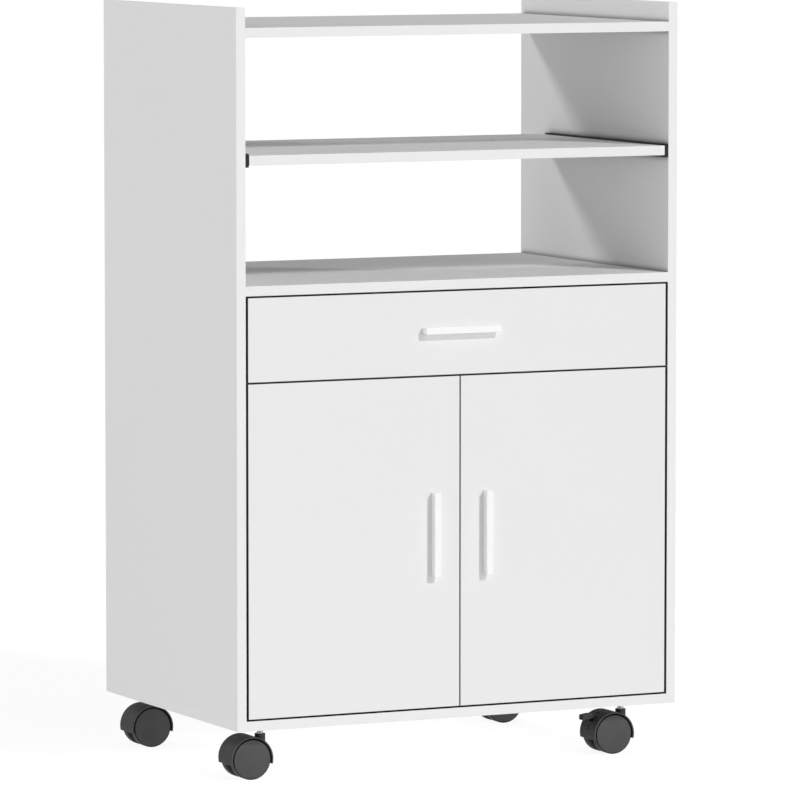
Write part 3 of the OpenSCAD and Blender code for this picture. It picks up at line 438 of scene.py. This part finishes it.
def make_floor():
    """Pale floor that keeps the object's shadow."""
    half = FLOOR_SIZE / 2.0
    mesh = bpy.data.meshes.new("studio_floor")
    corners = [(-half, -half, 0.0), (half, -half, 0.0), (half, half, 0.0), (-half, half, 0.0)]
    mesh.from_pydata(corners, [], [(0, 1, 2, 3)])
    floor = bpy.data.objects.new("studio_floor", mesh)
    bpy.context.scene.collection.objects.link(floor)
    mat = bpy.data.materials.new("studio_floor")
    mat.use_nodes = True
    tree = mat.node_tree
    tree.nodes.clear()
    out = tree.nodes.new("ShaderNodeOutputMaterial")
    diffuse = tree.nodes.new("ShaderNodeBsdfDiffuse")
    tone = tree.nodes.new("ShaderNodeMapRange")
    tone.inputs["To Min"].default_value = FLOOR_BOUNCE
    tone.inputs["To Max"].default_value = FLOOR_ALBEDO
    tree.links.new(seen_directly(tree), tone.inputs["Value"])
    tree.links.new(tone.outputs["Result"], diffuse.inputs["Color"])
    glow = tree.nodes.new("ShaderNodeEmission")
    glow.inputs["Color"].default_value = PLAIN_WHITE
    glow.inputs["Strength"].default_value = FLOOR_GLOW
    lit = tree.nodes.new("ShaderNodeEmission")
    lit.inputs["Color"].default_value = PLAIN_WHITE
    lit.inputs["Strength"].default_value = FLOOR_LIGHT
    sheet = tree.nodes.new("ShaderNodeAddShader")
    tree.links.new(diffuse.outputs[0], sheet.inputs[0])
    tree.links.new(lit.outputs[0], sheet.inputs[1])
    share = tree.nodes.new("ShaderNodeMath")
    share.operation = "MULTIPLY"
    share.inputs[1].default_value = FLOOR_GLOW_SHARE
    tree.links.new(seen_directly(tree), share.inputs[0])
    mix = tree.nodes.new("ShaderNodeMixShader")
    tree.links.new(share.outputs[0], mix.inputs["Fac"])
    tree.links.new(sheet.outputs[0], mix.inputs[1])
    tree.links.new(glow.outputs[0], mix.inputs[2])
    tree.links.new(mix.outputs[0], out.inputs["Surface"])
    mat.cycles.emission_sampling = "NONE"
    mesh.materials.append(mat)


# The world's light on the object: brightest at the horizon, none above the band
SKY_AT_HORIZON = 0.62
SKY_OVERHEAD = 0.0
SKY_BAND = 0.40
SKY_SEEN = 1.0


def make_world():
    """White for the camera, a soft band of light for the object."""
    world = bpy.data.worlds.new("studio")
    bpy.context.scene.world = world
    world.use_nodes = True
    tree = world.node_tree
    tree.nodes.clear()
    out = tree.nodes.new("ShaderNodeOutputWorld")
    soft = tree.nodes.new("ShaderNodeBackground")
    soft.inputs["Color"].default_value = PLAIN_WHITE
    up = tree.nodes.new("ShaderNodeSeparateXYZ")
    tree.links.new(tree.nodes.new("ShaderNodeTexCoord").outputs["Generated"], up.inputs["Vector"])
    dim = tree.nodes.new("ShaderNodeMapRange")
    dim.inputs["From Max"].default_value = SKY_BAND
    dim.inputs["To Min"].default_value = SKY_AT_HORIZON
    dim.inputs["To Max"].default_value = SKY_OVERHEAD
    tree.links.new(up.outputs["Z"], dim.inputs["Value"])
    tree.links.new(dim.outputs["Result"], soft.inputs["Strength"])
    white = tree.nodes.new("ShaderNodeBackground")
    white.inputs["Color"].default_value = PLAIN_WHITE
    white.inputs["Strength"].default_value = SKY_SEEN
    mix = tree.nodes.new("ShaderNodeMixShader")
    tree.links.new(seen_directly(tree), mix.inputs["Fac"])
    tree.links.new(soft.outputs[0], mix.inputs[1])
    tree.links.new(white.outputs[0], mix.inputs[2])
    tree.links.new(mix.outputs[0], out.inputs["Surface"])


def sun(name, towards, strength, spread):
    """Distant lamp; towards points from the object to the lamp, spread is its size in degrees."""
    data = bpy.data.lights.new(name, "SUN")
    data.energy = strength
    data.angle = math.radians(spread)
    lamp = bpy.data.objects.new(name, data)
    lamp.rotation_euler = Vector(towards).to_track_quat("Z", "Y").to_euler()
    bpy.context.scene.collection.objects.link(lamp)


# Name, direction, strength and size in degrees. The strengths were fitted to the
# photograph's tones.
SUNS = (
    ("key", (0.44, -1.0, 0.73), 1.38, 8.0),
    ("front_soft", (0.30, -1.0, 0.02), 1.05, 40.0),
    ("left_soft", (-1.0, -0.15, 0.02), 0.80, 40.0),
    ("rear_left", (-1.4, 1.0, 0.84), 0.86, 9.0),
    ("overhead", (0.0, -0.1, 1.0), 0.48, 60.0),
)

# Camera fitted to the photograph: metres, degrees and millimetres
CAMERA_PLACE = (-3.37496, -7.02894, 1.15100)
CAMERA_YAW = 25.69206
CAMERA_PITCH = 5.15657
CAMERA_LENS = 284.166
CAMERA_SENSOR = 36.0
CAMERA_NEAR = 0.1
CAMERA_FAR = 1000.0


def make_camera():
    data = bpy.data.cameras.new("photo_view")
    data.sensor_width = CAMERA_SENSOR
    data.sensor_fit = "HORIZONTAL"
    data.lens = CAMERA_LENS
    data.clip_start = CAMERA_NEAR
    data.clip_end = CAMERA_FAR
    camera = bpy.data.objects.new("photo_view", data)
    camera.location = CAMERA_PLACE
    tilt = math.radians(90.0 - CAMERA_PITCH)
    camera.rotation_euler = Euler((tilt, 0.0, math.radians(-CAMERA_YAW)))
    bpy.context.scene.collection.objects.link(camera)
    bpy.context.scene.camera = camera


dress_cad(make_materials())
make_floor()
make_world()
for lamp in SUNS:
    sun(*lamp)
make_camera()
bpy.context.scene.view_settings.view_transform = "Standard"
